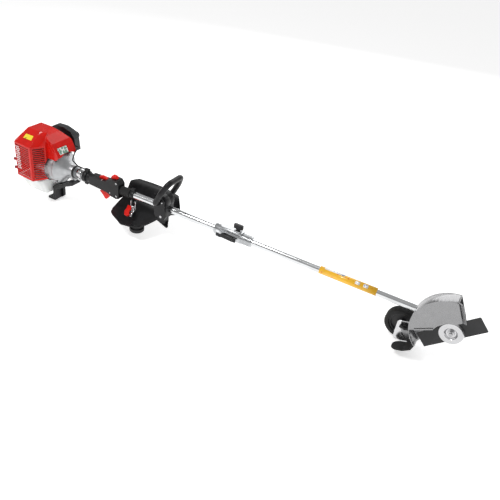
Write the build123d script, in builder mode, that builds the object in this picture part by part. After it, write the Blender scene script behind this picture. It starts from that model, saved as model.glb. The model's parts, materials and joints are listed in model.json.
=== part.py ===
"""Petrol lawn edger with a two-piece shaft.

Row frame: millimetres, +X along the shaft from the engine towards the blade, +Z up, +Y towards the
operator's side (air filter). The origin is on the floor under the middle of the machine.
Heights written as dz are measured from the drive axis, which runs along X at SHAFT_Z.
"""

from build123d import *
from math import cos, pi, radians, sin
import os

os.makedirs("parts", exist_ok=True)

# ---------------------------------------------------------------- driving dimensions
SHAFT_Z = 152.0  # drive axis above the floor
GAP = 0.05  # radial running clearance
TOUCH = 0.02  # radial clearance between parts that only meet

# stations along the drive axis
CYLINDER_X = -822.0
CASE_X0, CASE_X1 = -852.0, -792.0  # crankcase ends
FAN_X1 = -742.0  # fan case front
CLUTCH_X1 = -668.0  # clutch case front
GRIP_X0, GRIP_X1 = -625.0, -448.0  # rear handle
FOAM_X0, FOAM_X1 = -446.0, -402.0
HANGER_X = -392.0
LOOP_X = -256.0  # loop handle clamp
COUPLER_X0, COUPLER_X1 = -27.0, 119.0
TUBE_JOINT_X = 46.0  # where the upper and the lower tube meet
HEAD_X = 822.0  # blade axis

# tube and drive shaft
TUBE_R, TUBE_WALL = 13.0, 1.5
SHAFT_R = 4.0

# engine
BORE_R, STROKE = 20.0, 28.0
CYLINDER_TOP = 104.0  # dz of the cylinder head
FAN_R = 63.0
CASE_BOLT_R = 62.0  # circle of the screws that join fan case and clutch case
WALL = 2.5

# edger head
BLADE_L, BLADE_W, BLADE_T = 203.0, 51.0, 2.5
BLADE_ANGLE = 43.0
BLADE_Y = -50.0  # middle plane of the blade
GUARD_R = 121.0
GUARD_Y0, GUARD_Y1 = -28.0, -74.0  # back plate and near plate
PINION_TEETH, GEAR_TEETH, MODULE = 15, 20, 1.2
ARBOR_R, PINION_STUB_R = 6.0, 5.0
WHEEL_R, WHEEL_W = 55.0, 34.0
WHEEL_X, WHEEL_Y, WHEEL_DZ = HEAD_X - 150, 34.0, WHEEL_R - SHAFT_Z
WHEEL_LIFT = 40.0
ARM_BOLT_X, ARM_BOLT_DZ = HEAD_X - 130, -60.0


# ---------------------------------------------------------------- helpers
def across(x, y=0.0, dz=0.0):
    """Plane square to the drive axis: local x is +Y, local y is +Z, normal +X."""
    return Plane(origin=(x, y, SHAFT_Z + dz), x_dir=(0, 1, 0), z_dir=(1, 0, 0))


def side(y, x=0.0, dz=0.0):
    """Plane square to Y: local x is +X, local y is +Z, normal -Y."""
    return Plane(origin=(x, y, SHAFT_Z + dz), x_dir=(1, 0, 0), z_dir=(0, -1, 0))


def level(dz, x=0.0, y=0.0):
    """Plane square to Z: local x is +X, local y is +Y, normal +Z."""
    return Plane(origin=(x, y, SHAFT_Z + dz), x_dir=(1, 0, 0), z_dir=(0, 0, 1))


def disc(plane, radius, length, mode=Mode.ADD):
    """Cylinder of that radius standing on a plane, inside the active part."""
    with BuildSketch(plane) as face:
        Circle(radius)
    extrude(face.sketch, amount=length, mode=mode)


def block(plane, width, height, length, corner=0.0, mode=Mode.ADD):
    """Prism of a rounded rectangle standing on a plane, inside the active part."""
    with BuildSketch(plane) as face:
        if corner:
            RectangleRounded(width, height, corner)
        else:
            Rectangle(width, height)
    extrude(face.sketch, amount=length, mode=mode)


def outline(plane, points, length, mode=Mode.ADD, both=False):
    """Prism of a closed polygon standing on a plane, inside the active part."""
    with BuildSketch(plane) as face:
        with BuildLine():
            Polyline(*points, close=True)
        make_face()
    extrude(face.sketch, amount=length, both=both, mode=mode)


def ring(plane, outer, inner, length):
    """A plain ring as a part of its own."""
    with BuildPart() as made:
        disc(plane, outer, length)
        disc(plane, inner, length, Mode.SUBTRACT)
    return made.part


def cap_screw(plane, shank, length, head=None, head_length=None):
    """Socket-head screw: its head stands above the plane, and its shank goes below."""
    head = head or shank * 1.75
    head_length = head_length or shank * 1.8
    with BuildPart() as made:
        disc(plane, shank, -length)
        disc(plane, head, head_length)
        with BuildSketch(plane.offset(head_length)):
            RegularPolygon(shank * 0.9, 6)
        extrude(amount=-head_length * 0.6, mode=Mode.SUBTRACT)
    return made.part


def write(name, made):
    """Labels a finished piece and writes its STEP file."""
    made.label = name
    export_step(made, f"parts/{name}.step")


def write_group(name, solids):
    """Writes several separate solids as one node."""
    write(name, Compound(children=solids))


# ---------------------------------------------------------------- crankcase and crank train
CAVITY_R = 29.0
BEARING_R, BEARING_W, JOURNAL_R = 16.0, 10.0, 7.5
WEB_R, WEB_T, CRANK_PIN_R = 26.0, 8.0, 6.0
WEB_GAP = 10.0  # between the two webs
CRANK_REAR_X = -884.0

with BuildPart() as crankcase:
    block(across(CASE_X0), 76, 76, CASE_X1 - CASE_X0, corner=14)
    block(level(30, CYLINDER_X), 60, 66, -20, corner=6)
    disc(across(CASE_X0 + BEARING_W + 2), CAVITY_R, CASE_X1 - CASE_X0 - 2 * BEARING_W - 4, Mode.SUBTRACT)
    disc(across(CASE_X0), BEARING_R + TOUCH, CASE_X1 - CASE_X0, Mode.SUBTRACT)
    disc(level(0, CYLINDER_X), BORE_R + 2, 60, Mode.SUBTRACT)
    with BuildSketch(level(38, CYLINDER_X)):
        Rectangle(200, 200)
    extrude(amount=-8, mode=Mode.SUBTRACT)
    split(bisect_by=Plane(origin=(CYLINDER_X, 0, 0), z_dir=(1, 0, 0)), keep=Keep.BOTH)
write("crankcase", crankcase.part)

with BuildPart() as crankshaft:
    disc(across(CRANK_REAR_X), JOURNAL_R - GAP, CYLINDER_X - WEB_GAP / 2 - WEB_T - CRANK_REAR_X)
    disc(across(CYLINDER_X + WEB_GAP / 2 + WEB_T), JOURNAL_R - GAP, 34)
    disc(across(CYLINDER_X + WEB_GAP / 2 + WEB_T + 34), 6, 33)
    for web_x in (CYLINDER_X - WEB_GAP / 2 - WEB_T, CYLINDER_X + WEB_GAP / 2):
        disc(across(web_x), WEB_R, WEB_T)
    disc(across(CYLINDER_X - WEB_GAP / 2, 0, STROKE / 2), CRANK_PIN_R, WEB_GAP)
    # lightening cuts beside the crank pin leave the counterweight below it
    for y in (-17, 17):
        block(across(CYLINDER_X - 20, y, 17), 14, 16, 40, mode=Mode.SUBTRACT)
write("crankshaft", crankshaft.part)

PISTON_TOP, PISTON_L = 88.0, 27.0
with BuildPart() as piston:
    disc(level(PISTON_TOP - PISTON_L, CYLINDER_X), BORE_R - GAP, PISTON_L)
    disc(level(PISTON_TOP - PISTON_L, CYLINDER_X), BORE_R - 4, PISTON_L - 5, Mode.SUBTRACT)
    for x in (-11, 11):
        block(level(PISTON_TOP - 5, CYLINDER_X + x), 7, 20, -14)
    disc(across(CYLINDER_X - 20, 0, PISTON_TOP - 12), 4, 40, Mode.SUBTRACT)
    for groove in (4, 8):
        with BuildSketch(level(PISTON_TOP - groove, CYLINDER_X)):
            Circle(BORE_R + 1)
            Circle(BORE_R - 1.4, mode=Mode.SUBTRACT)
        extrude(amount=-1.5, mode=Mode.SUBTRACT)
write("piston", piston.part)

FIN_COUNT, FIN_PITCH, FIN_T = 9, 7.5, 2.0
with BuildPart() as cylinder:
    disc(level(30, CYLINDER_X), BORE_R + 7, CYLINDER_TOP - 30)
    block(level(30, CYLINDER_X), 56, 64, 6, corner=6)
    for fin in range(FIN_COUNT):
        block(level(41 + fin * FIN_PITCH, CYLINDER_X), 56, 80, FIN_T, corner=16)
    block(side(-20, CYLINDER_X, 60), 40, 30, 22, corner=4)
    block(side(20, CYLINDER_X, 56), 36, 28, -22, corner=4)
    disc(level(29, CYLINDER_X), BORE_R, 62, Mode.SUBTRACT)
    disc(side(-15, CYLINDER_X, 60), 9, 40, Mode.SUBTRACT)
    disc(side(15, CYLINDER_X, 54), 8, -40, Mode.SUBTRACT)
    disc(level(80, CYLINDER_X), 6 + TOUCH, 40, Mode.SUBTRACT)
write("cylinder", cylinder.part)

with BuildPart() as spark_plug:
    disc(level(90, CYLINDER_X), 6, 14)
    with BuildSketch(level(CYLINDER_TOP, CYLINDER_X)):
        RegularPolygon(10.5, 6)
    extrude(amount=8)
    disc(level(112, CYLINDER_X), 5, 14)
    disc(level(126, CYLINDER_X), 3, 5)
write("spark_plug", spark_plug.part)

with BuildPart() as plug_boot:
    disc(level(118, CYLINDER_X), 9, 22)
    disc(across(CYLINDER_X, 0, 132), 7, 30)
    fillet(plug_boot.edges().filter_by(GeomType.CIRCLE).group_by(Axis.Z)[-1], 3)
    disc(level(110, CYLINDER_X), 5 + TOUCH, 16, Mode.SUBTRACT)
    disc(level(120, CYLINDER_X), 3 + TOUCH, 11.2, Mode.SUBTRACT)
write("plug_boot", plug_boot.part)

# fan, centrifugal clutch and their cases
FLYWHEEL_X, FLYWHEEL_R = -782.0, 53.0
VANES = 14
with BuildPart() as flywheel:
    disc(across(FLYWHEEL_X), FLYWHEEL_R, 5)
    disc(across(FLYWHEEL_X), 20, 16)
    with BuildSketch(across(FLYWHEEL_X + 5)):
        with PolarLocations(38, VANES, start_angle=5):
            Rectangle(30, 2.2, rotation=18)
    extrude(amount=14)
    disc(across(FLYWHEEL_X - 5), JOURNAL_R + TOUCH, 30, Mode.SUBTRACT)
write("flywheel", flywheel.part)

SHOE_X, SHOE_R, SHOE_W = -758.0, 27.0, 13.0
shoes = []
for turn in (0, 180):
    with BuildPart() as shoe:
        with BuildSketch(across(SHOE_X)):
            Circle(SHOE_R)
            Circle(6 + TOUCH, mode=Mode.SUBTRACT)
            with Locations(Location((0, 0), turn)):
                Rectangle(80, 80, align=(Align.CENTER, Align.MAX), mode=Mode.SUBTRACT)
                with Locations((-20, 0), (20, 0)):
                    Rectangle(16, 6, mode=Mode.SUBTRACT)
        extrude(amount=SHOE_W)
        fillet(shoe.edges().filter_by(Axis.X).sort_by(Axis.Z)[0], 0.4)
    shoes.append(shoe.part.moved(Location((0, 0, 0.4 if turn == 0 else -0.4))))
write_group("clutch_shoes", shoes)

DRUM_X = -757.0
with BuildPart() as clutch_drum:
    disc(across(DRUM_X), 33, 20)
    disc(across(DRUM_X + 20), 9, 20)
    disc(across(DRUM_X), 30, 17, Mode.SUBTRACT)
    disc(across(DRUM_X + 26), SHAFT_R + TOUCH, 20, Mode.SUBTRACT)
write("clutch_drum", clutch_drum.part)

case_bolts = [(CASE_BOLT_R * cos(radians(a)), CASE_BOLT_R * sin(radians(a))) for a in (45, 135, 225, 315)]
with BuildPart() as fan_case:
    disc(across(CASE_X1), FAN_R, FAN_X1 - CASE_X1)
    disc(across(CASE_X1 + 4), FAN_R - 6, 60, Mode.SUBTRACT)
    disc(across(CASE_X1), 20, 10, Mode.SUBTRACT)
    with BuildSketch(across(CASE_X1)):
        with PolarLocations(40, 5, start_angle=18):
            RectangleRounded(22, 15, 5)
    extrude(amount=10, mode=Mode.SUBTRACT)
    for y, z in case_bolts:
        disc(across(FAN_X1 - 14, y, z), 6.5, 14)
        disc(across(FAN_X1 - 12, y, z), 2.5 + TOUCH, 12, Mode.SUBTRACT)
write("fan_case", fan_case.part)

NECK_R, NECK_X = 23.0, -692.0
with BuildPart() as clutch_case:
    with BuildSketch(side(0)):
        with BuildLine():
            Polyline(
                (FAN_X1, 0), (FAN_X1, FAN_R), (FAN_X1 + 8, FAN_R), (NECK_X - 8, 28), (NECK_X, NECK_R),
                (CLUTCH_X1, NECK_R), (CLUTCH_X1, 0), close=True,
            )
        make_face()
    revolve(axis=Axis((0, 0, SHAFT_Z), (1, 0, 0)))
    with BuildSketch(side(0)):
        with BuildLine():
            Polyline(
                (FAN_X1, 0), (FAN_X1, FAN_R - 5), (FAN_X1 + 7, FAN_R - 6), (DRUM_X + 30, 36),
                (DRUM_X + 30, 0),
                close=True,
            )
        make_face()
    revolve(axis=Axis((0, 0, SHAFT_Z), (1, 0, 0)), mode=Mode.SUBTRACT)
    disc(across(DRUM_X + 29), BEARING_R + TOUCH, BEARING_W + 1, Mode.SUBTRACT)
    disc(across(DRUM_X + 38), TUBE_R - 2, 60, Mode.SUBTRACT)
    disc(across(-706), TUBE_R + TOUCH, 60, Mode.SUBTRACT)
    for y, z in case_bolts:
        disc(across(FAN_X1, y, z), 6.5, 5)
        disc(across(FAN_X1 + 5, y, z), 5, 20, Mode.SUBTRACT)
        disc(across(FAN_X1, y, z), 2.5 + TOUCH, 20, Mode.SUBTRACT)
    # pinch slot and its lug under the neck
    block(across(-696, 0, -26), 20, 18, 24, corner=3)
    block(across(-700, 0, -24), 2, 26, 40, mode=Mode.SUBTRACT)
    disc(side(10, -684, -29), 2.5 + TOUCH, 20, Mode.SUBTRACT)
write("clutch_case", clutch_case.part)

bearings = [
    ring(across(CASE_X0), BEARING_R, JOURNAL_R, BEARING_W),
    ring(across(CASE_X1 - BEARING_W), BEARING_R, JOURNAL_R, BEARING_W),
    ring(across(DRUM_X + 29), BEARING_R, 9 + GAP, BEARING_W),
    ring(side(-14, HEAD_X), 13, ARBOR_R + GAP, 8),
    ring(side(22, HEAD_X), 13, ARBOR_R + GAP, 8),
    ring(across(HEAD_X - 34), 13, PINION_STUB_R + GAP, 10),
]
write_group("ball_bearings", bearings)

# ---------------------------------------------------------------- recoil starter
RECOIL_X0, RECOIL_X1, RECOIL_R = -913.0, -874.0, 56.0
ROPE_Y, ROPE_DZ = 43.0, 40.0
with BuildPart() as recoil_housing:
    disc(across(RECOIL_X0), RECOIL_R, RECOIL_X1 - RECOIL_X0)
    fillet(recoil_housing.edges().group_by(Axis.X)[0], 8)
    block(across(RECOIL_X0 + 8, ROPE_Y, 28), 22, 48, 28, corner=5)
    disc(across(RECOIL_X0 + 4), RECOIL_R - 4, 60, Mode.SUBTRACT)
    with BuildSketch(across(RECOIL_X0)):
        with PolarLocations(32, 12):
            RectangleRounded(22, 6, 2.5)
    extrude(amount=12, mode=Mode.SUBTRACT)
    disc(across(RECOIL_X0 + 2), 6, 23)
    disc(level(0, RECOIL_X0 + 22, ROPE_Y), 2.4, 70, Mode.SUBTRACT)
    for a in (45, 135, 225, 315):
        y, z = 46 * cos(radians(a)), 46 * sin(radians(a))
        block(across(RECOIL_X1, y, z), 14, 14, 22, corner=4)
        disc(across(RECOIL_X0, y, z), 2.5 + TOUCH, 80, Mode.SUBTRACT)
write("recoil_housing", recoil_housing.part)

with BuildPart() as recoil_reel:
    disc(across(RECOIL_X0 + 17), 42, 10)
    with BuildSketch(across(RECOIL_X0 + 19)):
        Circle(43)
        Circle(36, mode=Mode.SUBTRACT)
    extrude(amount=6, mode=Mode.SUBTRACT)
    disc(across(RECOIL_X0 + 10), 6 + GAP, 30, Mode.SUBTRACT)
write("recoil_reel", recoil_reel.part)

with BuildPart() as starter_rope:
    disc(level(-20, RECOIL_X0 + 22, ROPE_Y), 1.5, 84)

with BuildPart() as recoil_grip:
    block(level(52.5, RECOIL_X0 + 22, ROPE_Y), 15, 40, 15, corner=6)
    disc(level(67.5, RECOIL_X0 + 22, ROPE_Y), 7, 3)
    disc(level(49, RECOIL_X0 + 22, ROPE_Y), 1.5 + TOUCH, 30, Mode.SUBTRACT)
    disc(level(60, RECOIL_X0 + 22, ROPE_Y), 4, 30, Mode.SUBTRACT)
write_group("recoil_grip", [recoil_grip.part, starter_rope.part])

# ---------------------------------------------------------------- muffler and engine cover
with BuildPart() as muffler:
    block(side(-46, -830, 50), 70, 74, 52, corner=10)
    block(side(-42, CYLINDER_X, 60), 38, 28, 4, corner=4)
    disc(side(-42, CYLINDER_X, 60), 8, 20, Mode.SUBTRACT)
    block(side(-50, -830, 50), 64, 68, 44, corner=8, mode=Mode.SUBTRACT)
    disc(across(-872, -74, 66), 6, 20)
    disc(across(-874, -74, 66), 4.5, 24, Mode.SUBTRACT)
write("muffler", muffler.part)

COVER_REAR, COVER_RIDGE, COVER_FRONT = -884.0, -791.0, -764.0
COVER_DZ0, COVER_DZ1, COVER_TOP = -40.0, 100.0, 148.0
COVER_OUT = -112.0  # y of the ridge


def cover_body(inset):
    """Solid envelope of the engine cover, made smaller by inset for its inside."""
    lower = 6.0 if inset else 0.0
    with BuildPart() as body:
        # box over the muffler, with a ridge where its two slotted faces meet
        plan = [
            (COVER_REAR + inset, -38), (COVER_REAR + inset, -96 + inset),
            (COVER_REAR + 8 + inset, COVER_OUT + 6 + inset),
            (COVER_RIDGE - 0.3 * inset, COVER_OUT + inset), (COVER_FRONT - inset, -60 + 0.5 * inset),
            (COVER_FRONT - inset, -38),
        ]
        outline(level(COVER_DZ0 - lower), plan, COVER_DZ1 - COVER_DZ0 + lower)
        # sloping shoulder from the top of the slotted faces to the roof
        with BuildSketch(level(COVER_DZ1)):
            with BuildLine():
                Polyline(*plan, close=True)
            make_face()
        with BuildSketch(level(COVER_TOP - inset)):
            with BuildLine():
                Polyline(
                    (COVER_REAR + 30 + inset, -38), (COVER_REAR + 30 + inset, -52 + inset),
                    (COVER_RIDGE - 34, -54 + inset), (COVER_RIDGE - 0.3 * inset, -53 + inset),
                    (COVER_FRONT - 4 - inset, -44), (COVER_FRONT - 4 - inset, -38), close=True,
                )
            make_face()
        loft()
        # roof over the cylinder and lobe over the fan case, lower towards the front and the far side
        roof = [
            (COVER_REAR + 8 + inset, 54 - lower), (COVER_REAR + 8 + inset, 106),
            (COVER_REAR + 30 + inset, COVER_TOP - inset), (-800, COVER_TOP - inset), (-768, 136 - inset),
            (-737 - inset, 112 - inset), (-727 - inset, 98), (-710 - inset, 62), (-724 - inset, 46 - lower),
            (-786, 40 - lower), (-790, 54 - lower),
        ]
        cross_section = [
            (-52 + inset, 0), (-52 + inset, 200), (14 - 0.4 * inset, 200),
            (14 - 0.4 * inset, COVER_TOP - inset),
            (46 - inset, 108 - 0.6 * inset), (46 - inset, 0),
        ]
        with BuildPart() as roof_body:
            outline(side(60), roof, 120)
            outline(across(-900), cross_section, 220, Mode.INTERSECT)
        add(roof_body.part)
    return body.part


SLOT_PITCH, SLOT_H, SLOTS = 8.0, 4.2, 16
with BuildPart() as engine_cover:
    add(cover_body(0))
    add(cover_body(WALL), mode=Mode.SUBTRACT)
    for row in range(SLOTS):
        dz = COVER_DZ0 + 10 + row * SLOT_PITCH
        with Locations(Location((COVER_RIDGE - 46, COVER_OUT + 3, SHAFT_Z + dz), (0, 0, -4))):
            Box(74, 20, SLOT_H, mode=Mode.SUBTRACT)
        with Locations(Location((COVER_RIDGE + 15, (COVER_OUT - 60) / 2 + 1, SHAFT_Z + dz), (0, 0, 62.5))):
            Box(44, 12, SLOT_H, mode=Mode.SUBTRACT)
    # clearance for the fan case, the recoil starter and the carburettor
    disc(across(CASE_X1 - 1), FAN_R + 7, 90, Mode.SUBTRACT)
    disc(across(RECOIL_X0 - 5), RECOIL_R + 2, 45, Mode.SUBTRACT)
    block(side(60, CYLINDER_X, 56), 44, 36, 30, mode=Mode.SUBTRACT)
    # ribs over the front of the roof
    rib_places = [((-752, -52, SHAFT_Z + 92), (0, 52, 0)), ((-741, -52, SHAFT_Z + 97), (0, 52, 0))]
    with Locations(*[Location(*place) for place in rib_places]):
        Box(40, 3, 3.5)
cover_pieces = engine_cover.part.solids().sort_by(SortBy.VOLUME)
write("engine_cover", Part(cover_pieces[-1].wrapped))

# ---------------------------------------------------------------- carburettor side
PRIMER_X, PRIMER_Y, PRIMER_DZ = -777.0, 72.0, 32.0
with BuildPart() as carburetor:
    block(side(42, CYLINDER_X, 56), 34, 26, -14, corner=4)
    block(side(56, CYLINDER_X, 56), 38, 38, -26, corner=4)
    disc(side(40, CYLINDER_X, 56), 8, -60, Mode.SUBTRACT)
    block(level(24, CYLINDER_X + 14, PRIMER_Y), 58, 20, 16, corner=4)
    disc(across(PRIMER_X - 9, PRIMER_Y, PRIMER_DZ), 6 + GAP, 9, Mode.SUBTRACT)
    disc(across(CYLINDER_X + 18, 68, 66), 4, 14)
    disc(across(CYLINDER_X + 22, 68, 66), 2.1, 20, Mode.SUBTRACT)
    disc(across(CYLINDER_X - 19, 70, 62), 2.8, -12)
write("carburetor", carburetor.part)

with BuildPart() as primer_bulb:
    disc(across(PRIMER_X - 5, PRIMER_Y, PRIMER_DZ), 6, 6)
    disc(across(PRIMER_X + 1, PRIMER_Y, PRIMER_DZ), 10, 2.5)
    with BuildSketch(side(PRIMER_Y, PRIMER_X + 3.5, PRIMER_DZ)):
        with BuildLine():
            Line((0, 0), (0, 9))
            Spline((0, 9), (6.5, 6.5), (8.5, 0), tangents=((1, 0), (0, -1)))
            Line((8.5, 0), (0, 0))
        make_face()
    revolve(axis=Axis((0, PRIMER_Y, SHAFT_Z + PRIMER_DZ), (1, 0, 0)))
write("primer_bulb", primer_bulb.part)

with BuildPart() as choke_lever:
    disc(across(CYLINDER_X - 31.5, 70, 62), 6, 11)
    disc(across(CYLINDER_X - 31.5, 70, 62), 2.8 + GAP, 11, Mode.SUBTRACT)
    block(across(CYLINDER_X - 31, 70, 44), 7, 26, 3, corner=3)
    disc(across(CYLINDER_X - 31, 70, 30), 6, 4)
write("choke_lever", choke_lever.part)

FILTER_X0, FILTER_X1 = -880.0, -740.0
FILTER_Y0, FILTER_Y1 = 83.0, 109.0


def filter_shell(inset):
    """Solid envelope of the air filter cover: an arch that turns down at the front."""
    with BuildPart() as body:
        arch = [
            (FILTER_X0 + inset, 62), (FILTER_X0 + 10 + inset, 108 - inset), (FILTER_X0 + 36, 124 - inset),
            (-800, 126 - inset), (-764, 116 - inset), (FILTER_X1 - 6 - inset, 92),
            (FILTER_X1 - inset, 40 + inset),
            (-760, 40 + inset), (-800, 46 + inset), (-850, 50 + inset),
        ]
        outline(side(FILTER_Y0 - 8), arch, -(FILTER_Y1 - FILTER_Y0 + 8 - inset))
        if not inset:
            chamfer(body.faces().sort_by(Axis.Y)[-1].edges(), 7)
            fillet(body.edges().filter_by(Axis.Y), 4)
    return body.part


with BuildPart() as filter_base:
    add(filter_shell(3.3))
    block(side(86, -810, 80), 200, 120, -40, mode=Mode.SUBTRACT)
    block(side(82, -810, 80), 200, 120, 40, mode=Mode.SUBTRACT)
    disc(side(80, CYLINDER_X, 56), 8, -10, Mode.SUBTRACT)
    disc(side(86, -770, 92), 3, -(FILTER_Y1 + 5 - 86))
write("filter_base", filter_base.part)

with BuildPart() as filter_cover:
    add(filter_shell(0))
    add(filter_shell(3), mode=Mode.SUBTRACT)
    disc(side(FILTER_Y1 + 5, -770, 92), 3 + TOUCH, 40, Mode.SUBTRACT)
    block(side(82, CYLINDER_X, 56), 44, 44, 20, mode=Mode.SUBTRACT)
    # grooves that part the cover's face
    for x in (-850, -800):
        with Locations(Location((x, FILTER_Y1, SHAFT_Z + 86), (0, -24, 0))):
            Box(5, 3, 58, mode=Mode.SUBTRACT)
write("filter_cover", Part(filter_cover.part.solids().sort_by(SortBy.VOLUME)[-1].wrapped))

with BuildPart() as filter_knob:
    disc(side(FILTER_Y1 + 0.3, -770, 92), 13, -9)
    with BuildSketch(side(FILTER_Y1 + 0.3, -770, 92)):
        with PolarLocations(14.5, 8):
            Circle(3)
    extrude(amount=-9, mode=Mode.SUBTRACT)
    fillet(filter_knob.faces().sort_by(Axis.Y)[-1].edges(), 1)
    disc(side(FILTER_Y1, -770, 92), 3 + GAP, -5.6, Mode.SUBTRACT)
write("filter_knob", filter_knob.part)

# ---------------------------------------------------------------- fuel tank and stand
TANK_X0, TANK_X1 = -905.0, -778.0
TANK_DZ0, TANK_DZ1 = -120.0, -46.0
TANK_Y0, TANK_Y1 = 50.0, 88.0  # half widths at the base and at the top


def tank_body(inset):
    """Solid envelope of the tank, narrower at its base."""
    with BuildPart() as body:
        middle = (TANK_X0 + TANK_X1) / 2
        for dz, along, wide in ((TANK_DZ0 + inset, 108, 2 * TANK_Y0), (TANK_DZ1 - inset, 127, 2 * TANK_Y1)):
            with BuildSketch(level(dz, middle)):
                RectangleRounded(along - 2 * inset, wide - 2 * inset, 20 - inset)
        loft()
        if not inset:
            fillet(body.faces().sort_by(Axis.Z)[0].edges(), 9)
            fillet(body.faces().sort_by(Axis.Z)[-1].edges(), 5)
        # saddles under the fan case and the recoil starter
        disc(across(CASE_X1 - 3 - inset), FAN_R + 6 + inset, 90, Mode.SUBTRACT)
        disc(across(RECOIL_X0 - 20), RECOIL_R + 3 + inset, 80 + inset, Mode.SUBTRACT)
    return body.part


CAP_PLANE = Plane(origin=(TANK_X0 + 2, 34, SHAFT_Z - 78), x_dir=(0, 1, 0), z_dir=(-1, 0, 0.25))
with BuildPart() as fuel_tank:
    add(tank_body(0))
    disc(CAP_PLANE.offset(-14), 17, 22)
    add(tank_body(3), mode=Mode.SUBTRACT)
    disc(CAP_PLANE.offset(-20), 13, 40, Mode.SUBTRACT)
write("fuel_tank", fuel_tank.part)

with BuildPart() as fuel_cap:
    disc(CAP_PLANE.offset(8.3), 21, 13)
    with BuildSketch(CAP_PLANE.offset(8.3)):
        with PolarLocations(22.5, 16):
            Circle(2.4)
    extrude(amount=13, mode=Mode.SUBTRACT)
    disc(CAP_PLANE.offset(-4), 13 - 0.4, 13)
write("fuel_cap", fuel_cap.part)

STAND_HALF = 26.0  # half of the stand's width
with BuildPart() as tank_stand:
    leg = [
        (-806, -SHAFT_Z), (-770, -SHAFT_Z), (-762, -144), (-762, -98), (-738, -88), (-704, -66),
        (-684, -58),
        (-674, -50), (-676, -41), (-688, -40), (-706, -50), (-740, -72), (-766, -80), (-777.9, -90),
        (-777.9, -143),
        (-806, -143),
    ]
    for y in (-STAND_HALF + 12, STAND_HALF):
        outline(side(y), leg, 12)
    block(across(-777.9, 0, -118), 2 * STAND_HALF, 56, 7)
    block(across(-690, 0, -49), 2 * STAND_HALF, 15, 12, corner=5)
    block(level(-SHAFT_Z, -789), 34, 2 * STAND_HALF, 9)
write("tank_stand", tank_stand.part)

# ---------------------------------------------------------------- tubes and drive shafts
with BuildPart() as upper_tube:
    disc(across(-706), TUBE_R, TUBE_JOINT_X - 0.5 + 706)
    disc(across(-706), TUBE_R - TUBE_WALL, TUBE_JOINT_X + 706, Mode.SUBTRACT)
write("upper_tube", upper_tube.part)

TUBE_END_X = HEAD_X - 62.0
with BuildPart() as lower_tube:
    disc(across(TUBE_JOINT_X + 0.5), TUBE_R, TUBE_END_X - TUBE_JOINT_X - 0.5)
    disc(across(TUBE_JOINT_X), TUBE_R - TUBE_WALL, TUBE_END_X - TUBE_JOINT_X, Mode.SUBTRACT)
write("lower_tube", lower_tube.part)

with BuildPart() as upper_shaft:
    disc(across(DRUM_X + 27), SHAFT_R, TUBE_JOINT_X + 10 - DRUM_X - 27)
    disc(across(TUBE_JOINT_X - 20), 8, 36)
    with BuildSketch(across(TUBE_JOINT_X - 2)):
        Rectangle(7, 7)
    extrude(amount=20, mode=Mode.SUBTRACT)
write("upper_shaft", upper_shaft.part)

with BuildPart() as lower_shaft:
    disc(across(TUBE_JOINT_X + 17), SHAFT_R, HEAD_X - 51 - TUBE_JOINT_X - 17)
    block(across(TUBE_JOINT_X), 6.8, 6.8, 17)
    block(across(HEAD_X - 51), 5, 5, 11)
write("lower_shaft", lower_shaft.part)

bushes = [
    ring(across(x), TUBE_R - TUBE_WALL - TOUCH, SHAFT_R + GAP, 14)
    for x in (-600, -420, -240, -60, 120, 280, 440, 600)
]
write_group("shaft_bushes", bushes)

# ---------------------------------------------------------------- rear handle
GRIP_R = 19.0
TRIGGER_PIVOT = (-490.0, -20.0)  # x and dz
LOCK_PIVOT = (-530.0, 19.5)
SWITCH_X = -478.0
HANDLE_SCREWS = ((-460, -25), (-460, 28))  # x and dz
with BuildPart() as rear_handle:
    disc(across(GRIP_X0 + 14), GRIP_R, 100)
    disc(across(GRIP_X0), 24, 16)
    block(across(GRIP_X0, 0, -26), 12, 14, 12, corner=3)
    block(across(GRIP_X0 + 2, 0, 26), 14, 16, 18, corner=4)
    box_side = [
        (-590, -17), (-540, -20), (-500, -24), (-486, -32), (-462, -36), (GRIP_X1 + 2, -31), (GRIP_X1, -20),
        (GRIP_X1, 24), (-458, 38), (-476, 40), (-500, 34), (-512, 21), (-560, 19), (-590, 17),
    ]
    outline(side(0), box_side, 19, both=True)
    fillet(rear_handle.edges().filter_by(Axis.Y).group_by(Axis.X)[-1], 3)
    disc(across(GRIP_X0 - 1), TUBE_R + TOUCH, 200, Mode.SUBTRACT)
    # wells for the trigger, the lock-out lever and the stop switch
    outline(side(0), [(-556, -15.5), (-482, -15.5), (-482, -60), (-556, -60)], 8, Mode.SUBTRACT, both=True)
    outline(side(0), [(-552, 15.5), (-510, 15.5), (-510, 60), (-552, 60)], 6, Mode.SUBTRACT, both=True)
    block(level(24, SWITCH_X), 26, 14, 30, mode=Mode.SUBTRACT)
    disc(side(20, *TRIGGER_PIVOT), 2, 40, Mode.SUBTRACT)
    disc(side(20, *LOCK_PIVOT), 1.5, 40, Mode.SUBTRACT)
    for x, dz in HANDLE_SCREWS:
        disc(side(20, x, dz), 2 + TOUCH, 40, Mode.SUBTRACT)
        disc(side(-15, x, dz), 4, 10, Mode.SUBTRACT)
    disc(across(GRIP_X0 - 2, 0, 27), 3, 30, Mode.SUBTRACT)
    split(bisect_by=Plane(origin=(0, 0, 0), z_dir=(0, 1, 0)), keep=Keep.BOTH)
handle_solids = rear_handle.part.solids().sort_by(Axis.Y)
write("handle_right", Part(handle_solids[0].wrapped))
write("handle_left", Part(handle_solids[-1].wrapped))

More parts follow.
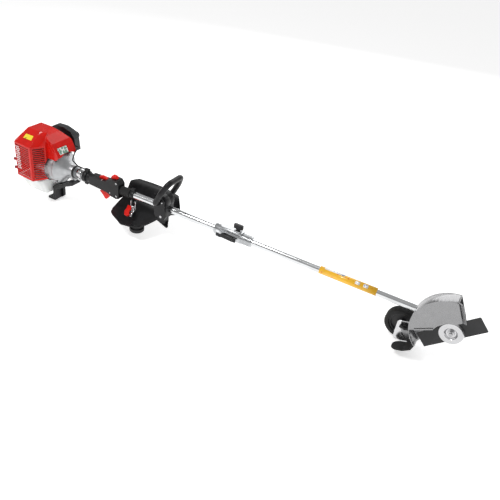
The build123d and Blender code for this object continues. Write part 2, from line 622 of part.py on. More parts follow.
with BuildPart() as throttle_trigger:
    lever = [
        (-549, -36), (-546, -32.5), (-530, -26.5), (-512, -21.5), (-498, -17.6), (-488, -16), (-485, -20),
        (-486, -26), (-494, -33), (-503, -41), (-509, -52), (-516, -61), (-524, -62), (-531, -52),
        (-540, -43),
    ]
    outline(side(0), lever, 6.5, both=True)
    fillet(throttle_trigger.edges().filter_by(Axis.Y).sort_by(Axis.Z)[:3], 2.5)
    disc(side(6.5, *TRIGGER_PIVOT), 4.4, 13)
    disc(side(20, *TRIGGER_PIVOT), 2 + GAP, 40, Mode.SUBTRACT)
write("throttle_trigger", throttle_trigger.part)

with BuildPart() as throttle_lockout:
    lever = [(-550, 20), (-550, 26), (-538, 31), (-526, 30), (-514, 27), (-512, 23), (-523, 17), (-534, 16.5)]
    outline(side(0), lever, 5, both=True)
    disc(side(20, *LOCK_PIVOT), 1.5 + GAP, 40, Mode.SUBTRACT)
write("throttle_lockout", throttle_lockout.part)

with BuildPart() as stop_switch:
    block(level(24.5, SWITCH_X - 4), 16, 13, 17)
    with BuildSketch(side(6.5, SWITCH_X, 41)):
        with BuildLine():
            Polyline((-16, 0), (14, 0), (7, 11), (-7, 11), close=True)
        make_face()
    extrude(amount=13)
write("stop_switch", stop_switch.part)

with BuildPart() as foam_sleeve:
    disc(across(FOAM_X0), 17.5, FOAM_X1 - FOAM_X0)
    fillet(foam_sleeve.edges(), 3)
    disc(across(FOAM_X0 - 1), TUBE_R + TOUCH, 100, Mode.SUBTRACT)
write("foam_sleeve", foam_sleeve.part)

# ---------------------------------------------------------------- hanger, hook and hip guard
EYE_R, EYE_DZ = 5.0, -31.0
with BuildPart() as hanger_clamp:
    disc(across(HANGER_X - 8), TUBE_R + 3, 16)
    block(across(HANGER_X - 8, 0, 18), 9, 16, 16)
    block(across(HANGER_X - 2, 0, -26), 18, 26, 4, corner=4)
    disc(across(HANGER_X - 10), TUBE_R + TOUCH, 20, Mode.SUBTRACT)
    block(across(HANGER_X - 9, 0, 22), 1.5, 22, 20, mode=Mode.SUBTRACT)
    disc(across(HANGER_X - 5, 0, EYE_DZ), EYE_R, 10, Mode.SUBTRACT)
write("hanger_clamp", hanger_clamp.part)

HOOK_R = 2.2
hook_points = [(10, -17), (10, 2.4), (-10, 2.4), (-11, -17), (0, -27)]  # x and dz from the eye
with BuildPart() as harness_hook:
    with BuildLine():
        hook_corners = [(HANGER_X + x, 0, SHAFT_Z + EYE_DZ + dz) for x, dz in hook_points]
        hook_path = FilletPolyline(*hook_corners, radius=2.6)
    with BuildSketch(Plane(origin=hook_path @ 0, z_dir=hook_path % 0)):
        Circle(HOOK_R)
    sweep()
    disc(level(EYE_DZ - 36, HANGER_X), 7, 8)
    disc(level(EYE_DZ - 28, HANGER_X), 4, 3)
write("harness_hook", harness_hook.part)

ROD_T = 8.0
with BuildPart() as connecting_rod:
    disc(across(CYLINDER_X - ROD_T / 2, 0, STROKE / 2), CRANK_PIN_R + 4, ROD_T)
    disc(across(CYLINDER_X - ROD_T / 2, 0, PISTON_TOP - 12), 6.5, ROD_T)
    block(across(CYLINDER_X - 2.5, 0, STROKE / 4 + (PISTON_TOP - 12) / 2), 9, 52, 5)
    disc(across(CYLINDER_X - 10, 0, STROKE / 2), CRANK_PIN_R + TOUCH, 20, Mode.SUBTRACT)
    disc(across(CYLINDER_X - 10, 0, PISTON_TOP - 12), 4 + TOUCH, 20, Mode.SUBTRACT)
with BuildPart() as gudgeon_pin:
    disc(across(CYLINDER_X - 17, 0, PISTON_TOP - 12), 4 - TOUCH, 34)
write_group("connecting_rod", [connecting_rod.part, gudgeon_pin.part])

# hip guard: a curved shield under the tube, held below the loop clamp
BUMPER_X, BUMPER_Y = -345.0, -38.0
with BuildPart() as hip_guard:
    with BuildSketch(across(-500)):
        with BuildLine():
            outer = Spline((104, 12), (88, -2), (66, -42), (20, -76), (-40, -92), (-86, -93))
            inner = Spline((-86, -89), (-40, -88), (17, -72), (62, -40), (84, 0), (101, 15))
            Line(outer @ 1, inner @ 0)
            Line(inner @ 1, outer @ 0)
        make_face()
    extrude(amount=300)
    plan = [
        (-456, -46), (-473, -34), (-481, -14), (-482, 20), (-472, 84), (-440, 98), (-340, 103),
        (-250, 92), (-218, 62), (-262, 46), (-226, -6),
        (-292, 14), (-322, -52), (-352, -70), (-392, -78), (-430, -58),
    ]
    with BuildSketch(Plane.XY) as plan_face:
        with BuildLine():
            Polyline(*plan, close=True)
        make_face()
        fillet(plan_face.vertices(), 5)
    extrude(plan_face.sketch, amount=300, mode=Mode.INTERSECT)
    block(level(-36.02, -262, 18), 26, 24, -40)
    disc(level(-87, BUMPER_X, BUMPER_Y), 22, -18)
    disc(level(-104, BUMPER_X, BUMPER_Y), 28, -16)
    fillet(hip_guard.faces().sort_by(Axis.Z)[0].edges(), 6)
write("hip_guard", hip_guard.part)

# ---------------------------------------------------------------- loop handle
LOOP_PIVOT_DZ, LOOP_BAR_R, LOOP_LEAN = 32.0, 10.5, radians(27)
CLAMP_BOLTS = ((-240, 37), (-242, -23))  # x and dz
CLAMP_X0, CLAMP_L = LOOP_X - 22, 52.0
loop_plane = Plane(
    origin=(LOOP_X, 0, SHAFT_Z + LOOP_PIVOT_DZ), x_dir=(0, 1, 0), z_dir=(cos(LOOP_LEAN), 0, -sin(LOOP_LEAN))
)
with BuildPart() as loop_handle:
    with BuildLine(loop_plane):
        loop_path = FilletPolyline((0, 0), (54, 0), (56, 58), (38, 102), (0, 102), radius=19)
    with BuildSketch(Plane(origin=loop_path @ 0, z_dir=loop_path % 0)):
        Circle(LOOP_BAR_R)
    sweep()
    mirror(about=Plane.XZ)
write("loop_handle", loop_handle.part)

with BuildPart() as loop_clamp:
    clamp_side = [
        (CLAMP_X0, -28), (CLAMP_X0 + 6, -36), (CLAMP_X0 + 34, -36), (CLAMP_X0 + CLAMP_L, -30),
        (CLAMP_X0 + CLAMP_L, 34), (CLAMP_X0, 34),
    ]
    outline(side(0), clamp_side, 24, both=True)
    disc(side(24, CLAMP_X0 + 28, 30), 28, 48)
    fillet(loop_clamp.edges().filter_by(GeomType.CIRCLE), 4)
    # curved cheek on the near side that takes both bolts
    cheek = [
        (-274, 24), (-270, 44), (-256, 52), (-240, 50), (-228, 40), (-228, 16), (-222, -2),
        (-220, -18), (-228, -34),
        (-244, -38), (-257, -30), (-254, -12), (-262, 4),
    ]
    outline(side(-24), cheek, 9)
    disc(across(CLAMP_X0 - 5), TUBE_R + TOUCH, 90, Mode.SUBTRACT)
    disc(side(40, LOOP_X, LOOP_PIVOT_DZ), LOOP_BAR_R + GAP, 80, Mode.SUBTRACT)
    block(across(CLAMP_X0 - 5), 0.8, 140, 90, mode=Mode.SUBTRACT)
    for x, dz in CLAMP_BOLTS:
        disc(side(40, x, dz), 2.5 + TOUCH, 80, Mode.SUBTRACT)
        disc(side(-30, x, dz), 5, 10, Mode.SUBTRACT)
write("loop_clamp", loop_clamp.part)

# ---------------------------------------------------------------- split-shaft coupler
KNOB_X = 61.0
LATCH_PIVOT = (8.0, -27.0)  # x and y
with BuildPart() as coupler_body:
    disc(across(COUPLER_X0), 19, COUPLER_X1 - COUPLER_X0)
    block(across(COUPLER_X0 + 24, 0, 2), 30, 40, 84, corner=6)
    for x in range(8):
        with BuildSketch(across(COUPLER_X1 - 6 - 4.5 * x)) as groove:
            Circle(22)
            Circle(17.2, mode=Mode.SUBTRACT)
        extrude(groove.sketch, amount=2, mode=Mode.SUBTRACT)
    outline(level(-9), [(-16, -12), (-10, -32), (10, -34), (18, -22), (34, -12)], 18)
    block(level(18, KNOB_X), 24, 22, 8, corner=5)
    disc(across(COUPLER_X0 - 1), TUBE_R + TOUCH, 200, Mode.SUBTRACT)
    block(across(COUPLER_X0 + 60, 0, -25), 2, 30, 100, mode=Mode.SUBTRACT)
    disc(level(10, KNOB_X), 4 + GAP, 20, Mode.SUBTRACT)
    outline(level(-6.6), [(-8, -21), (-8, -40), (60, -40), (60, -21)], 13.2, Mode.SUBTRACT)
    disc(level(-20, *LATCH_PIVOT), 1.5, 40, Mode.SUBTRACT)
write("coupler_body", coupler_body.part)

with BuildPart() as coupler_knob:
    disc(level(14, KNOB_X), 4, 20)
    disc(level(26.2, KNOB_X), 8, 7)
    block(level(33, KNOB_X), 36, 14, 15, corner=6)
    fillet(coupler_knob.faces().sort_by(Axis.Z)[-1].edges(), 3)
write("coupler_knob", coupler_knob.part)

with BuildPart() as coupler_latch:
    lever = [(2, -23.5), (2, -30), (12, -33), (56, -36), (70, -34), (70, -29), (56, -26), (30, -22)]
    outline(level(-6), lever, 12)
    fillet(coupler_latch.edges().filter_by(Axis.Z).sort_by(Axis.X)[-2:], 2)
    disc(level(-20, *LATCH_PIVOT), 1.5 + GAP, 40, Mode.SUBTRACT)
write("coupler_latch", coupler_latch.part)

# ---------------------------------------------------------------- gearcase
APEX = (HEAD_X, 0, SHAFT_Z)
with BuildPart() as gearcase:
    block(across(HEAD_X - 108, 0, 20), 15, 22, 26)
    disc(across(HEAD_X - 114), 19, 60)
    disc(across(HEAD_X - 58), 21.5, 44)
    with BuildSketch(Plane.XY.offset(SHAFT_Z)):
        with BuildLine():
            Polyline(
                (HEAD_X, 28), (HEAD_X + 16, 28), (HEAD_X + 22.5, 24), (HEAD_X + 22.5, -21),
                (HEAD_X + 31, -22),
                (HEAD_X + 31, -26), (HEAD_X, -26), close=True,
            )
        make_face()
    revolve(axis=Axis(APEX, (0, 1, 0)))
    disc(across(HEAD_X - 115), TUBE_R + TOUCH, TUBE_END_X - HEAD_X + 115, Mode.SUBTRACT)
    disc(across(HEAD_X - 63), 7, 40, Mode.SUBTRACT)
    disc(across(HEAD_X - 34), 13 + TOUCH, 34, Mode.SUBTRACT)
    disc(side(22, HEAD_X), 13 + TOUCH, 44, Mode.SUBTRACT)
    disc(side(14, HEAD_X), 16, 28, Mode.SUBTRACT)
    disc(side(-14, HEAD_X), ARBOR_R + 0.4, 20, Mode.SUBTRACT)
    block(across(HEAD_X - 115, 0, 22), 2, 26, 40, mode=Mode.SUBTRACT)
    disc(side(20, HEAD_X - 95, 25), 2.5 + TOUCH, 40, Mode.SUBTRACT)
    for angle in (45, 135, 225, 315):
        x, dz = HEAD_X + 26 * cos(radians(angle)), 26 * sin(radians(angle))
        disc(side(-10, x, dz), 2 + TOUCH, 30, Mode.SUBTRACT)
write("gearcase", gearcase.part)

PITCH_P, PITCH_G = PINION_TEETH * MODULE / 2, GEAR_TEETH * MODULE / 2
FACE_SCALE = 0.7  # inner end of the teeth, as a share of the outer cone distance


def bevel_teeth(teeth, pitch_r, cone_height, outer_plane, inner_plane):
    """Straight tapered teeth between two planes square to the gear's axis."""
    slope = (pitch_r**2 + cone_height**2) ** 0.5 / cone_height
    root, tip = pitch_r - 1.5 * slope, pitch_r + 0.85 * slope
    solids = []
    for tooth in range(teeth):
        with BuildPart() as made:
            for plane, scale in ((outer_plane, 1.0), (inner_plane, FACE_SCALE)):
                with BuildSketch(plane):
                    with Locations(Location((0, 0), 360 * tooth / teeth)):
                        with Locations((scale * (root + tip) / 2, 0)):
                            Trapezoid(scale * 1.9, scale * (tip - root), 82, rotation=-90)
            loft()
        solids.append(made.part)
    return solids


with BuildPart() as bevel_pinion:
    with BuildSketch(side(0)):
        with BuildLine():
            Polyline(
                (HEAD_X - 8.4, 0), (HEAD_X - 8.4, 5.29), (HEAD_X - 13.5, 8.5), (HEAD_X - 19, 8.5),
                (HEAD_X - 21, PINION_STUB_R), (HEAD_X - 50, PINION_STUB_R), (HEAD_X - 50, 0), close=True,
            )
        make_face()
    revolve(axis=Axis(APEX, (1, 0, 0)))
    add(bevel_teeth(PINION_TEETH, PITCH_P, PITCH_G, across(HEAD_X - 12), across(HEAD_X - 8.4)))
    block(across(HEAD_X - 51), 5.04, 5.04, 12, mode=Mode.SUBTRACT)
write("bevel_pinion", bevel_pinion.part)

with BuildPart() as bevel_gear:
    with BuildSketch(Plane.XY.offset(SHAFT_Z)):
        with BuildLine():
            Polyline(
                (HEAD_X, 6.3), (HEAD_X + 7.06, 6.3), (HEAD_X + 12, 10.71), (HEAD_X + 12, 13.5),
                (HEAD_X, 13.5),
                close=True,
            )
        make_face()
    revolve(axis=Axis(APEX, (0, 1, 0)))
    # half a tooth of turn, so that a gap faces the pinion's tooth
    half_pitch = pi / GEAR_TEETH
    gear_planes = [
        Plane(origin=(HEAD_X, y, SHAFT_Z), x_dir=(cos(half_pitch), 0, sin(half_pitch)), z_dir=(0, -1, 0))
        for y in (PITCH_P, FACE_SCALE * PITCH_P)
    ]
    add(bevel_teeth(GEAR_TEETH, PITCH_G, PITCH_P, *gear_planes))
    disc(side(20, HEAD_X), ARBOR_R + TOUCH, 30, Mode.SUBTRACT)
write("bevel_gear", bevel_gear.part)

with BuildPart() as arbor:
    disc(side(21.8, HEAD_X), ARBOR_R, 21.8 + 66)
    disc(side(-6, HEAD_X), ARBOR_R + 1.5, 5)
write("arbor", arbor.part)

# ---------------------------------------------------------------- blade and its clamping parts
blade_plane = Plane(
    origin=(HEAD_X, BLADE_Y + BLADE_T / 2, SHAFT_Z), z_dir=(0, -1, 0),
    x_dir=(cos(radians(BLADE_ANGLE)), 0, sin(radians(BLADE_ANGLE))),
)
with BuildPart() as blade:
    with BuildSketch(blade_plane) as blade_face:
        Rectangle(BLADE_L, BLADE_W)
        chamfer(blade_face.vertices(), 2)
        Circle(ARBOR_R + TOUCH, mode=Mode.SUBTRACT)
    extrude(amount=BLADE_T)
write("blade", blade.part)

with BuildPart() as inner_flange:
    disc(side(-34, HEAD_X), 12, -34 - BLADE_Y - BLADE_T / 2)
    disc(side(BLADE_Y + BLADE_T / 2 + 4, HEAD_X), 19, 4)
    disc(side(0, HEAD_X), ARBOR_R + TOUCH, 80, Mode.SUBTRACT)
DISH_R = 37.0
dish_y = BLADE_Y - BLADE_T / 2
with BuildPart() as dish:
    with BuildSketch(Plane.XY.offset(SHAFT_Z)):
        with BuildLine():
            Polyline(
                (HEAD_X + ARBOR_R + TOUCH, dish_y), (HEAD_X + 17, dish_y), (HEAD_X + 22, dish_y - 6),
                (HEAD_X + DISH_R - 3, dish_y - 6), (HEAD_X + DISH_R, dish_y - 1),
                (HEAD_X + DISH_R + 1, dish_y - 2),
                (HEAD_X + DISH_R - 2, dish_y - 8.5), (HEAD_X + 20, dish_y - 8.5),
                (HEAD_X + 15, dish_y - 2.5),
                (HEAD_X + ARBOR_R + TOUCH, dish_y - 2.5), close=True,
            )
        make_face()
    revolve(axis=Axis(APEX, (0, 1, 0)))
with BuildPart() as blade_nut:
    with BuildSketch(side(dish_y - 2.5, HEAD_X)):
        RegularPolygon(10.5, 6)
    extrude(amount=9)
    disc(side(dish_y - 2.5, HEAD_X), 12, 1.5)
    disc(side(0, HEAD_X), ARBOR_R + TOUCH, 80, Mode.SUBTRACT)
write_group("blade_fasteners", [inner_flange.part, dish.part, blade_nut.part])

# ---------------------------------------------------------------- blade guard and debris flap
SHEET = 2.0  # thickness of the guard's sheet
FRONT_TOP, FRONT_LOW = (-11.0, 120.5), (18.0, 62.0)  # ends of its front edge, from the blade axis
TAIL_ANGLE = 226.0  # where the rim ends at the rear


def guard_point(angle, radius=GUARD_R):
    """Point of the guard's rim, as x and dz from the blade axis."""
    return (radius * cos(radians(angle)), radius * sin(radians(angle)))


def guard_face(plane, low):
    """Fan-shaped face of the guard, closed below by the points in low."""
    with BuildSketch(plane) as face:
        with BuildLine():
            rim = ThreePointArc(FRONT_TOP, guard_point(150), guard_point(TAIL_ANGLE))
            Polyline(rim @ 1, *low, rim @ 0)
        make_face()
    return face.sketch


back_low = [(-60, -62), (-10, -38), (34, -30), (36, 20), FRONT_LOW]
near_cut = [
    (-130, -40), (-104, -26), (-50, 4), (-42, 20), (-22, 41), (0, 47), FRONT_LOW, (60, 66),
    (60, -140), (-130, -140),
]
near_plane = Plane(
    origin=(HEAD_X - 76, GUARD_Y1, SHAFT_Z - 8.5),
    x_dir=(cos(radians(29)), 0, sin(radians(29))),
    z_dir=(0, -1, 0),
)
lip_plane = Plane(
    origin=(HEAD_X + 18, GUARD_Y1 + 1.5, SHAFT_Z + 62), x_dir=(-0.444, 0, 0.896), z_dir=(0.633, 0.707, 0.314)
)
with BuildPart() as blade_guard:
    # rim: the outline's solid less the same solid moved in
    extrude(guard_face(side(GUARD_Y0 + SHEET, HEAD_X), back_low), amount=GUARD_Y0 + SHEET - GUARD_Y1 + SHEET)
    with BuildSketch(side(GUARD_Y0, HEAD_X)) as hollow:
        with BuildLine():
            inner_rim = ThreePointArc(
                (-11.0, GUARD_R - 3), guard_point(150, GUARD_R - SHEET),
                guard_point(TAIL_ANGLE, GUARD_R - SHEET)
            )
            Polyline(inner_rim @ 1, (-70, -120), (160, -120), (160, GUARD_R - 3), inner_rim @ 0)
        make_face()
    extrude(hollow.sketch, amount=GUARD_Y0 - GUARD_Y1, mode=Mode.SUBTRACT)
    outline(side(GUARD_Y1, HEAD_X), near_cut, 10, Mode.SUBTRACT)
    # rolled lip along the near plate's lower edge and flared lip along its front edge
    block(near_plane, 58, 4, 5, corner=1.5)
    with BuildSketch(lip_plane) as lip:
        with Locations((32.5, 8)):
            RectangleRounded(65, 17, 2)
    extrude(lip.sketch, amount=SHEET)
    disc(side(GUARD_Y0 + 5, HEAD_X), 17, 20, Mode.SUBTRACT)
    for angle in (45, 135, 225, 315):
        x, dz = HEAD_X + 26 * cos(radians(angle)), 26 * sin(radians(angle))
        disc(side(-10, x, dz), 2 + TOUCH, 30, Mode.SUBTRACT)
    # arm that carries the wheel bracket
    arm = [(-60, -20), (-60, -58), (-92, -112), (-110, -116), (-146, -72), (-146, -48), (-118, -40)]
    outline(side(GUARD_Y0 + 3, HEAD_X), arm, 3)
    for x, dz in ((-110, -82), (-102, -98)):
        block(side(0, HEAD_X + x, dz), 12, 6, 60, corner=2.5, mode=Mode.SUBTRACT)
    disc(side(0, ARM_BOLT_X, ARM_BOLT_DZ), 4 + TOUCH, 60, Mode.SUBTRACT)
write("blade_guard", blade_guard.part)

with BuildPart() as debris_flap:
    flap_side = [
        (-98.7, -76), (-95.6, -74.6), (-84.6, -87.9), (-90, -105), (-112, -121), (-148, -132), (-150, -129),
        (-113, -117), (-94, -102), (-89.5, -88),
    ]
    outline(side(GUARD_Y0 - 0.3, HEAD_X), flap_side, GUARD_Y0 - GUARD_Y1 - 0.6)
    for edge_y, turn in ((GUARD_Y0, -1), (GUARD_Y1, 1)):
        corner = [
            (HEAD_X - 155, edge_y - turn), (HEAD_X - 132, edge_y - turn),
            (HEAD_X - 144, edge_y + 6 * turn), (HEAD_X - 155, edge_y + 22 * turn),
        ]
        outline(level(-136), corner, 20, Mode.SUBTRACT)
write("debris_flap", debris_flap.part)

# ---------------------------------------------------------------- depth wheel
with BuildPart() as wheel_bracket:
    block(side(-20, WHEEL_X + 16, -89), 48, 76, 3, corner=9)
    disc(side(WHEEL_Y + WHEEL_W / 2 + 10, WHEEL_X, WHEEL_DZ), 5, WHEEL_Y + WHEEL_W / 2 + 33)
    disc(side(WHEEL_Y - WHEEL_W / 2 - 1, WHEEL_X, WHEEL_DZ), 9, WHEEL_Y - WHEEL_W / 2 + 19)
    disc(side(WHEEL_Y + WHEEL_W / 2 + 9, WHEEL_X, WHEEL_DZ), 9, 7)
    slot_middle = ARM_BOLT_DZ - WHEEL_LIFT / 2
    block(side(0, ARM_BOLT_X, slot_middle), 8.6, WHEEL_LIFT + 9, 60, corner=4.2, mode=Mode.SUBTRACT)
write("wheel_bracket", wheel_bracket.part)

HUB_R = 40.0
with BuildPart() as wheel_hub:
    disc(side(WHEEL_Y + WHEEL_W / 2, WHEEL_X, WHEEL_DZ), 14, WHEEL_W)
    disc(side(WHEEL_Y + 10, WHEEL_X, WHEEL_DZ), HUB_R, 20)
    for y in (WHEEL_Y + 10, WHEEL_Y - 4):
        with BuildSketch(side(y, WHEEL_X, WHEEL_DZ)) as recess:
            Circle(HUB_R - 6)
            Circle(14, mode=Mode.SUBTRACT)
        extrude(recess.sketch, amount=6, mode=Mode.SUBTRACT)
    disc(side(80, WHEEL_X, WHEEL_DZ), 5 + GAP, 80, Mode.SUBTRACT)
write("wheel_hub", wheel_hub.part)

with BuildPart() as wheel_tyre:
    with BuildSketch(Plane.XY.offset(SHAFT_Z + WHEEL_DZ)):
        with BuildLine():
            half = WHEEL_W / 2
            Polyline(
                (WHEEL_X + HUB_R, WHEEL_Y - half + 1), (WHEEL_X + 50, WHEEL_Y - half + 1),
                (WHEEL_X + WHEEL_R, WHEEL_Y - half + 6), (WHEEL_X + WHEEL_R, WHEEL_Y + half - 6),
                (WHEEL_X + 50, WHEEL_Y + half - 1), (WHEEL_X + HUB_R, WHEEL_Y + half - 1), close=True,
            )
        make_face()
    revolve(axis=Axis((WHEEL_X, 0, SHAFT_Z + WHEEL_DZ), (0, 1, 0)))
    for y in (-7, 0, 7):
        with BuildSketch(side(WHEEL_Y + y + 1, WHEEL_X, WHEEL_DZ)) as groove:
            Circle(70)
            Circle(WHEEL_R - 2.5, mode=Mode.SUBTRACT)
        extrude(groove.sketch, amount=2, mode=Mode.SUBTRACT)
write("wheel_tyre", wheel_tyre.part)

# wing knob that clamps the wheel bracket to the arm
with BuildPart() as wheel_knob:
    disc(side(-16.7, ARM_BOLT_X, ARM_BOLT_DZ), 7, 2.9)
    disc(side(-16.7, ARM_BOLT_X, ARM_BOLT_DZ), 4, 28)
    disc(side(-28.3, ARM_BOLT_X, ARM_BOLT_DZ), 9, 10)
    block(side(-32, ARM_BOLT_X, ARM_BOLT_DZ), 35, 8, 9, corner=3.5)
write("wheel_knob", wheel_knob.part)

# ---------------------------------------------------------------- throttle cable
CABLE_R = 2.5
with BuildPart() as throttle_cable:
    with BuildLine():
        cable_path = FilletPolyline(
            (CYLINDER_X + 32, 68, SHAFT_Z + 66), (-716, 66, SHAFT_Z + 70), (-699, 24, SHAFT_Z + 64),
            (-692, 4, SHAFT_Z + 42), (-662, 0, SHAFT_Z + 29), (GRIP_X0 + 9, 0, SHAFT_Z + 27), radius=9,
        )
    with BuildSketch(Plane(origin=cable_path @ 0, z_dir=cable_path % 0)):
        Circle(CABLE_R)
    sweep()
write("throttle_cable", throttle_cable.part)

# ---------------------------------------------------------------- screws and pivot pins
fasteners = []
for y, dz in case_bolts:
    fasteners.append(cap_screw(across(FAN_X1 + 5, y, dz), 2.5, 15))
for angle in (45, 135, 225, 315):
    y, dz = 46 * cos(radians(angle)), 46 * sin(radians(angle))
    fasteners.append(cap_screw(Plane(origin=(RECOIL_X0, y, SHAFT_Z + dz), z_dir=(-1, 0, 0)), 2.5, 30))
for x, dz in HANDLE_SCREWS:
    fasteners.append(cap_screw(side(-15.1, x, dz), 2, 28, 3.6, 3))
for x, dz in CLAMP_BOLTS:
    fasteners.append(cap_screw(side(-30.1, x, dz), 2.5, 46, 4.6, 4.6))
fasteners.append(cap_screw(side(-10, -684, -29), 2.5, 20))
fasteners.append(cap_screw(side(-8, HEAD_X - 95, 25), 2.5, 16))
for angle in (45, 135, 225, 315):
    x, dz = HEAD_X + 26 * cos(radians(angle)), 26 * sin(radians(angle))
    fasteners.append(cap_screw(side(GUARD_Y0, x, dz), 2, 8))
for pivot, pin_r, half in ((TRIGGER_PIVOT, 2.0, 18.9), (LOCK_PIVOT, 1.5, 18.0)):
    with BuildPart() as pin:
        disc(side(half, *pivot), pin_r - TOUCH, 2 * half)
    fasteners.append(pin.part)
with BuildPart() as latch_pin:
    disc(level(-8.9, *LATCH_PIVOT), 1.5 - TOUCH, 17.8)
fasteners.append(latch_pin.part)
write_group("fasteners", fasteners)
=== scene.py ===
"""Looks of the lawn edger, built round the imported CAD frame. Metres, +X towards the blade, +Z up."""

import json
import math

import bmesh
import bpy
from mathutils import Matrix, Vector


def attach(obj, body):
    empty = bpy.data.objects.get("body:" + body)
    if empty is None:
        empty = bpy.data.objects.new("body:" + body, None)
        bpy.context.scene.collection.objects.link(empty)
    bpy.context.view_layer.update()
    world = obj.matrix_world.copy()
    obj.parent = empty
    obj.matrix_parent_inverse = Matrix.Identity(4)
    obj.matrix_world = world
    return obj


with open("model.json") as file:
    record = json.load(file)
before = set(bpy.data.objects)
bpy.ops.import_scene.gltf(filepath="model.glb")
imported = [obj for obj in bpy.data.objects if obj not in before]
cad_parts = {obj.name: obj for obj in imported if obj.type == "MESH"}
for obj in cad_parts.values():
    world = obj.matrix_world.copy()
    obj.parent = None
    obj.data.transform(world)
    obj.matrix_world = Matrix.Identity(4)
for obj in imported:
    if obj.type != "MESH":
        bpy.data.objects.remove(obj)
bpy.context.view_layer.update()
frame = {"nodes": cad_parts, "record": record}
MM = 0.001
SHAFT_Z = 0.152  # height of the drive axis
TUBE_R = 13.0  # millimetres, as are all the sizes of the detail pieces

# ---------------------------------------------------------------- camera
AZIMUTH, ELEVATION, ROLL = math.radians(24.3), math.radians(33.5), math.radians(-8.1)
CAMERA_AT = Vector((0.795, -1.505, 1.211))
LENS, SENSOR_WIDTH = 40.97, 36.0


def add_camera():
    """Camera at the photograph's viewing angle."""
    back = Vector((
        math.sin(AZIMUTH) * math.cos(ELEVATION),
        -math.cos(AZIMUTH) * math.cos(ELEVATION),
        math.sin(ELEVATION),
    ))
    forward = -back
    right = forward.cross(Vector((0, 0, 1))).normalized()
    down = forward.cross(right)
    x_axis = right * math.cos(ROLL) + down * math.sin(ROLL)
    y_axis = right * math.sin(ROLL) - down * math.cos(ROLL)
    data = bpy.data.cameras.new("camera")
    data.lens, data.sensor_width = LENS, SENSOR_WIDTH
    data.clip_end = 50.0
    camera = bpy.data.objects.new("camera", data)
    camera.matrix_world = Matrix((
        (x_axis.x, y_axis.x, back.x, CAMERA_AT.x),
        (x_axis.y, y_axis.y, back.y, CAMERA_AT.y),
        (x_axis.z, y_axis.z, back.z, CAMERA_AT.z),
        (0, 0, 0, 1),
    ))
    bpy.context.scene.collection.objects.link(camera)
    bpy.context.scene.camera = camera


# ---------------------------------------------------------------- materials
def new_material(name, base, roughness, metallic=0.0, **sockets):
    """Principled material. Returns the material, its node tree and its shader."""
    material = bpy.data.materials.new(name)
    material.use_nodes = True
    shader = material.node_tree.nodes["Principled BSDF"]
    shader.inputs["Base Color"].default_value = (*base, 1.0)
    shader.inputs["Roughness"].default_value = roughness
    shader.inputs["Metallic"].default_value = metallic
    for socket, value in sockets.items():
        shader.inputs[socket.replace("_", " ")].default_value = value
    return material, material.node_tree, shader


def coordinates(tree, scale=(1, 1, 1)):
    """Object coordinates, stretched."""
    source = tree.nodes.new("ShaderNodeTexCoord")
    mapping = tree.nodes.new("ShaderNodeMapping")
    mapping.inputs["Scale"].default_value = scale
    tree.links.new(source.outputs["Object"], mapping.inputs["Vector"])
    return mapping.outputs["Vector"]


def noise(tree, scale, detail=3.0, stretch=(1, 1, 1)):
    """Noise in object space; scale is in cells per metre."""
    node = tree.nodes.new("ShaderNodeTexNoise")
    node.inputs["Scale"].default_value = scale
    node.inputs["Detail"].default_value = detail
    tree.links.new(coordinates(tree, stretch), node.inputs["Vector"])
    return node.outputs["Fac"]


def ramp(tree, value, low, high, start=0.35, end=0.65):
    """Maps a value from start..end to low..high, clamped."""
    node = tree.nodes.new("ShaderNodeMapRange")
    node.inputs["From Min"].default_value = start
    node.inputs["From Max"].default_value = end
    node.inputs["To Min"].default_value = low
    node.inputs["To Max"].default_value = high
    tree.links.new(value, node.inputs["Value"])
    return node.outputs["Result"]


def mix(tree, factor, first, second):
    """Mixes two colours by a factor socket."""
    node = tree.nodes.new("ShaderNodeMix")
    node.data_type = "RGBA"
    tree.links.new(factor, node.inputs["Factor"])
    for socket, value in ((node.inputs[6], first), (node.inputs[7], second)):
        if isinstance(value, bpy.types.NodeSocket):
            tree.links.new(value, socket)
        else:
            socket.default_value = (*value, 1.0)
    return node.outputs[2]


def bump(tree, shader, height, distance):
    """Adds a bump; distance is its height in metres."""
    node = tree.nodes.new("ShaderNodeBump")
    node.inputs["Distance"].default_value = distance
    node.inputs["Strength"].default_value = 1.0
    tree.links.new(height, node.inputs["Height"])
    tree.links.new(node.outputs["Normal"], shader.inputs["Normal"])


def shade(colour, factor):
    """The colour made lighter or darker."""
    return tuple(min(1.0, channel * factor) for channel in colour)


def vary(tree, shader, colour, amount, scale):
    """Slow, faint change of tone over a surface."""
    tone = ramp(tree, noise(tree, scale, 4.0), 0.0, 1.0)
    varied = mix(tree, tone, shade(colour, 1 - amount), shade(colour, 1 + amount))
    tree.links.new(varied, shader.inputs["Base Color"])


def moulded(name, colour, roughness, grain=900, depth=0.00004, coat=0.0, variation=0.06, specular=0.4):
    """Moulded plastic: fine grain, and a slow change of tone and gloss."""
    material, tree, shader = new_material(
        name, colour, roughness, Coat_Weight=coat, Coat_Roughness=0.06, Specular_IOR_Level=specular
    )
    vary(tree, shader, colour, variation, 30)
    gloss = ramp(tree, noise(tree, 60, 4.0), max(0.02, roughness - 0.05), min(1.0, roughness + 0.06))
    tree.links.new(gloss, shader.inputs["Roughness"])
    bump(tree, shader, noise(tree, grain, 2.0), depth)
    return material


def brushed(name, colour, roughness, stretch=(1, 1, 1), scale=400, depth=0.00001):
    """Metal with fine drawn or machined lines across the stretched directions."""
    material, tree, shader = new_material(name, colour, roughness, 1.0)
    lines = noise(tree, scale, 5.0, stretch)
    vary(tree, shader, colour, 0.05, 25)
    gloss = ramp(tree, lines, max(0.03, roughness - 0.07), roughness + 0.1)
    tree.links.new(gloss, shader.inputs["Roughness"])
    bump(tree, shader, lines, depth)
    return material


